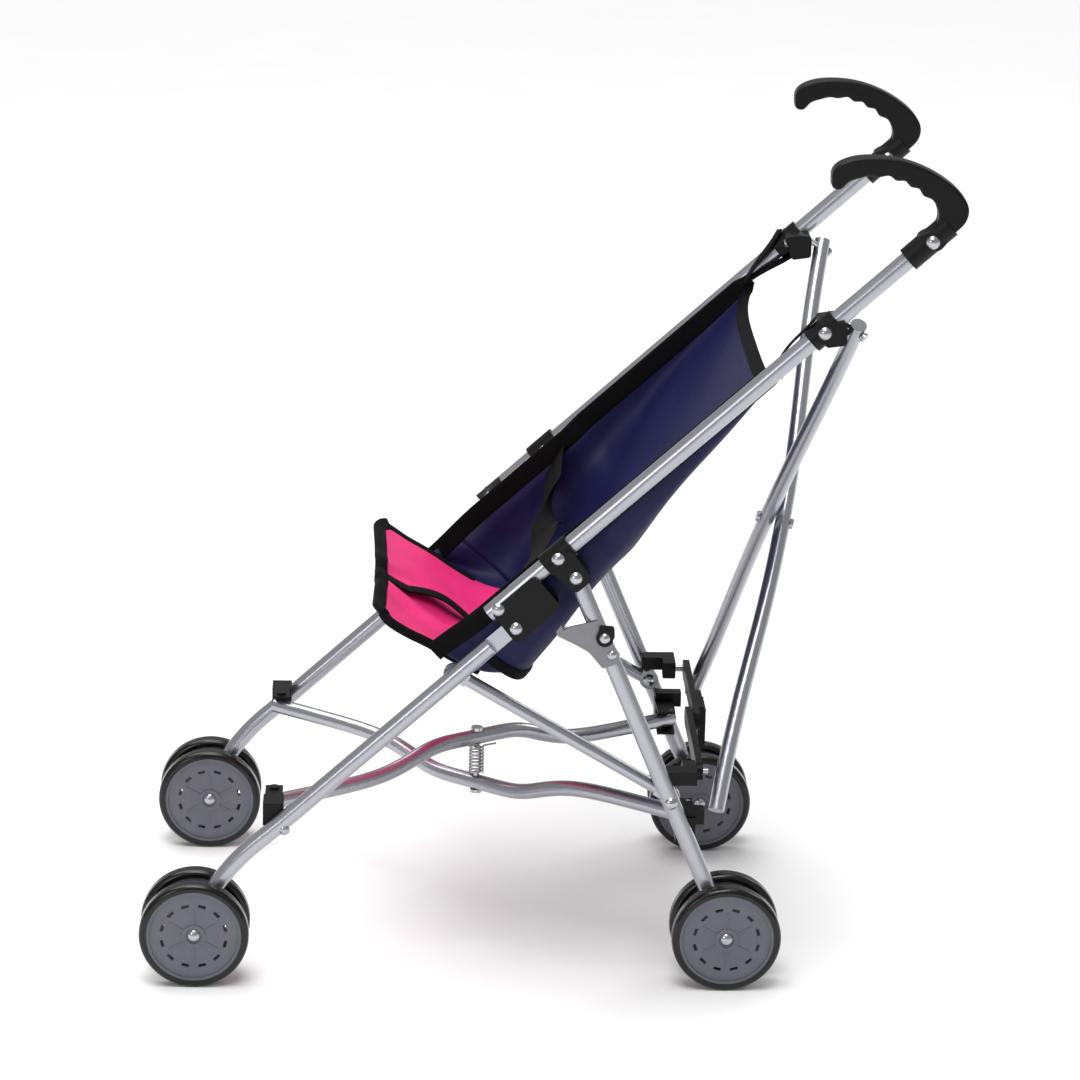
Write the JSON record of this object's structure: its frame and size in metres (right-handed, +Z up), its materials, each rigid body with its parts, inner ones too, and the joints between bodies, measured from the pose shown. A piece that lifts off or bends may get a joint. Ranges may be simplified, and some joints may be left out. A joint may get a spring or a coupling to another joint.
{
  "type": "doll stroller",
  "caption": "Toy umbrella stroller: slanted tube frame with hooked grips, crossed tubes, double wheels and a hanging fabric seat",
  "frame": {"origin": "on the floor under the middle of the bounding box", "axes": "+X to the rear, where the handles lean; +Y to the stroller's right; +Z up"},
  "size_m": [0.5424, 0.2972, 0.5813],
  "materials": {
    "silver_tube": "silver lacquered steel tube",
    "bright_steel": "zinc-plated steel rivets, axles and spring",
    "hook_sheet": "bare sheet steel",
    "black_plastic": "black moulded plastic, satin",
    "tyre_black": "glossy black hard tyre",
    "hub_grey": "grey moulded plastic, satin",
    "navy_fabric": "navy woven polyester with a slight sheen",
    "pink_fabric": "pink woven polyester",
    "black_webbing": "black polyester webbing"
  },
  "bodies": {
    "left_side": {"handle_tube_left": "silver_tube", "front_plate_left": "black_plastic", "hinge_bracket_left": "black_plastic", "top_bracket_left": "black_plastic", "handle_rivets_left": "bright_steel", "grip_left": "black_plastic", "seat_sling": "navy_fabric", "seat_tongue": "pink_fabric", "crotch_strap": "black_webbing", "lap_belt": "black_webbing"},
    "front_leg_left": {"front_leg_left": "silver_tube", "lower_front_block_left": "black_plastic", "axle_front_left": "bright_steel"},
    "rear_leg_left": {"rear_leg_left": "silver_tube", "rear_block_left": "black_plastic", "rear_leg_rivets_left": "bright_steel", "axle_rear_left": "bright_steel", "storage_hook": "hook_sheet", "hook_washer": "black_plastic"},
    "strut_left": {"side_strut_left": "silver_tube"},
    "lower_cross_left": {"lower_cross_left": "silver_tube", "lower_bolt_nut": "bright_steel"},
    "rear_cross_left": {"rear_cross_left": "silver_tube"},
    "lock_left": {"lock_arm_left": "black_plastic"},
    "wheel_front_outer_left": {"tyre_front_outer_left": "tyre_black", "hub_front_outer_left": "hub_grey"},
    "wheel_front_inner_left": {"tyre_front_inner_left": "tyre_black", "hub_front_inner_left": "hub_grey"},
    "wheel_rear_outer_left": {"tyre_rear_outer_left": "tyre_black", "hub_rear_outer_left": "hub_grey"},
    "wheel_rear_inner_left": {"tyre_rear_inner_left": "tyre_black", "hub_rear_inner_left": "hub_grey"},
    "right_side": {"handle_tube_right": "silver_tube", "front_plate_right": "black_plastic", "hinge_bracket_right": "black_plastic", "top_bracket_right": "black_plastic", "handle_rivets_right": "bright_steel", "grip_right": "black_plastic"},
    "front_leg_right": {"front_leg_right": "silver_tube", "lower_front_block_right": "black_plastic", "axle_front_right": "bright_steel"},
    "rear_leg_right": {"rear_leg_right": "silver_tube", "rear_block_right": "black_plastic", "rear_leg_rivets_right": "bright_steel", "axle_rear_right": "bright_steel"},
    "strut_right": {"side_strut_right": "silver_tube"},
    "lower_cross_right": {"lower_cross_right": "silver_tube", "lower_bolt_head": "bright_steel", "torsion_spring": "bright_steel"},
    "rear_cross_right": {"rear_cross_right": "silver_tube"},
    "lock_right": {"lock_arm_right": "black_plastic"},
    "wheel_front_outer_right": {"tyre_front_outer_right": "tyre_black", "hub_front_outer_right": "hub_grey"},
    "wheel_front_inner_right": {"tyre_front_inner_right": "tyre_black", "hub_front_inner_right": "hub_grey"},
    "wheel_rear_outer_right": {"tyre_rear_outer_right": "tyre_black", "hub_rear_outer_right": "hub_grey"},
    "wheel_rear_inner_right": {"tyre_rear_inner_right": "tyre_black", "hub_rear_inner_right": "hub_grey"}
  },
  "joints": [
    {"name": "fold_width", "type": "slide", "parent": "left_side", "child": "right_side", "axis": [0, -1, 0], "range_m": [0, 0.05], "deforming": ["seat_sling", "seat_tongue", "crotch_strap", "lap_belt", "torsion_spring"]},
    {"name": "front_leg_fold_left", "type": "hinge", "parent": "left_side", "child": "front_leg_left", "pos_m": [-0.01874, -0.1285, 0.25723], "axis": [0, 1, 0], "range_deg": [0, 32.69]},
    {"name": "rear_leg_fold_left", "type": "hinge", "parent": "left_side", "child": "rear_leg_left", "pos_m": [0.02048, -0.1285, 0.29317], "axis": [0, 1, 0], "range_deg": [0, 16.02]},
    {"name": "strut_fold_left", "type": "hinge", "parent": "rear_leg_left", "child": "strut_left", "pos_m": [0.0892, -0.1285, 0.13201], "axis": [0, 1, 0], "range_deg": [0, 1.54]},
    {"name": "lower_cross_fold_left", "type": "hinge", "parent": "rear_leg_left", "child": "lower_cross_left", "pos_m": [0.1006, -0.096, 0.1095], "axis": [0.3662, 0.5086, 0.7792], "range_deg": [0, 11.76]},
    {"name": "rear_cross_fold_left", "type": "hinge", "parent": "left_side", "child": "rear_cross_left", "pos_m": [0.2025, -0.117, 0.461], "axis": [-0.7101, 0.4854, 0.5101], "range_deg": [0, 10.12]},
    {"name": "lock_fold_left", "type": "hinge", "parent": "rear_leg_left", "child": "lock_left", "pos_m": [0.1098, -0.106, 0.1455], "axis": [1, 0, 0], "range_deg": [-40.19, 0]},
    {"name": "wheel_roll_front_outer_left", "type": "hinge", "parent": "front_leg_left", "child": "wheel_front_outer_left", "pos_m": [-0.2342, -0.1285, 0.0375], "axis": [0, 1, 0], "continuous": true},
    {"name": "wheel_roll_front_inner_left", "type": "hinge", "parent": "front_leg_left", "child": "wheel_front_inner_left", "pos_m": [-0.2342, -0.1285, 0.0375], "axis": [0, 1, 0], "continuous": true},
    {"name": "wheel_roll_rear_outer_left", "type": "hinge", "parent": "rear_leg_left", "child": "wheel_rear_outer_left", "pos_m": [0.1295, -0.1285, 0.0375], "axis": [0, 1, 0], "continuous": true},
    {"name": "wheel_roll_rear_inner_left", "type": "hinge", "parent": "rear_leg_left", "child": "wheel_rear_inner_left", "pos_m": [0.1295, -0.1285, 0.0375], "axis": [0, 1, 0], "continuous": true},
    {"name": "front_leg_fold_right", "type": "hinge", "parent": "right_side", "child": "front_leg_right", "pos_m": [-0.01874, 0.1285, 0.25723], "axis": [0, 1, 0], "range_deg": [0, 32.69]},
    {"name": "rear_leg_fold_right", "type": "hinge", "parent": "right_side", "child": "rear_leg_right", "pos_m": [0.02048, 0.1285, 0.29317], "axis": [0, 1, 0], "range_deg": [0, 16.02]},
    {"name": "strut_fold_right", "type": "hinge", "parent": "rear_leg_right", "child": "strut_right", "pos_m": [0.0892, 0.1285, 0.13201], "axis": [0, 1, 0], "range_deg": [0, 1.54]},
    {"name": "lower_cross_fold_right", "type": "hinge", "parent": "rear_leg_right", "child": "lower_cross_right", "pos_m": [0.1006, 0.096, 0.1095], "axis": [-0.3662, 0.5086, -0.7792], "range_deg": [0, 11.76]},
    {"name": "rear_cross_fold_right", "type": "hinge", "parent": "right_side", "child": "rear_cross_right", "pos_m": [0.2025, 0.117, 0.461], "axis": [0.7101, 0.4854, -0.5101], "range_deg": [0, 10.12]},
    {"name": "lock_fold_right", "type": "hinge", "parent": "rear_leg_right", "child": "lock_right", "pos_m": [0.1152, 0.106, 0.1455], "axis": [1, 0, 0], "range_deg": [0, 40.19]},
    {"name": "wheel_roll_front_outer_right", "type": "hinge", "parent": "front_leg_right", "child": "wheel_front_outer_right", "pos_m": [-0.2342, 0.1285, 0.0375], "axis": [0, 1, 0], "continuous": true},
    {"name": "wheel_roll_front_inner_right", "type": "hinge", "parent": "front_leg_right", "child": "wheel_front_inner_right", "pos_m": [-0.2342, 0.1285, 0.0375], "axis": [0, 1, 0], "continuous": true},
    {"name": "wheel_roll_rear_outer_right", "type": "hinge", "parent": "rear_leg_right", "child": "wheel_rear_outer_right", "pos_m": [0.1295, 0.1285, 0.0375], "axis": [0, 1, 0], "continuous": true},
    {"name": "wheel_roll_rear_inner_right", "type": "hinge", "parent": "rear_leg_right", "child": "wheel_rear_inner_right", "pos_m": [0.1295, 0.1285, 0.0375], "axis": [0, 1, 0], "continuous": true}
  ],
  "couplings": [
    {"joint": "front_leg_fold_left", "follows": "fold_width", "rad_per_m": 11.403},
    {"joint": "rear_leg_fold_left", "follows": "fold_width", "rad_per_m": 5.585},
    {"joint": "strut_fold_left", "follows": "fold_width", "rad_per_m": 0.53005},
    {"joint": "lower_cross_fold_left", "follows": "fold_width", "rad_per_m": 4.0991},
    {"joint": "rear_cross_fold_left", "follows": "fold_width", "rad_per_m": 3.5238},
    {"joint": "lock_fold_left", "follows": "fold_width", "rad_per_m": -14.021},
    {"joint": "front_leg_fold_right", "follows": "fold_width", "rad_per_m": 11.403},
    {"joint": "rear_leg_fold_right", "follows": "fold_width", "rad_per_m": 5.585},
    {"joint": "strut_fold_right", "follows": "fold_width", "rad_per_m": 0.53005},
    {"joint": "lower_cross_fold_right", "follows": "fold_width", "rad_per_m": 4.0991},
    {"joint": "rear_cross_fold_right", "follows": "fold_width", "rad_per_m": 3.5238},
    {"joint": "lock_fold_right", "follows": "fold_width", "rad_per_m": 14.021}
  ]
}
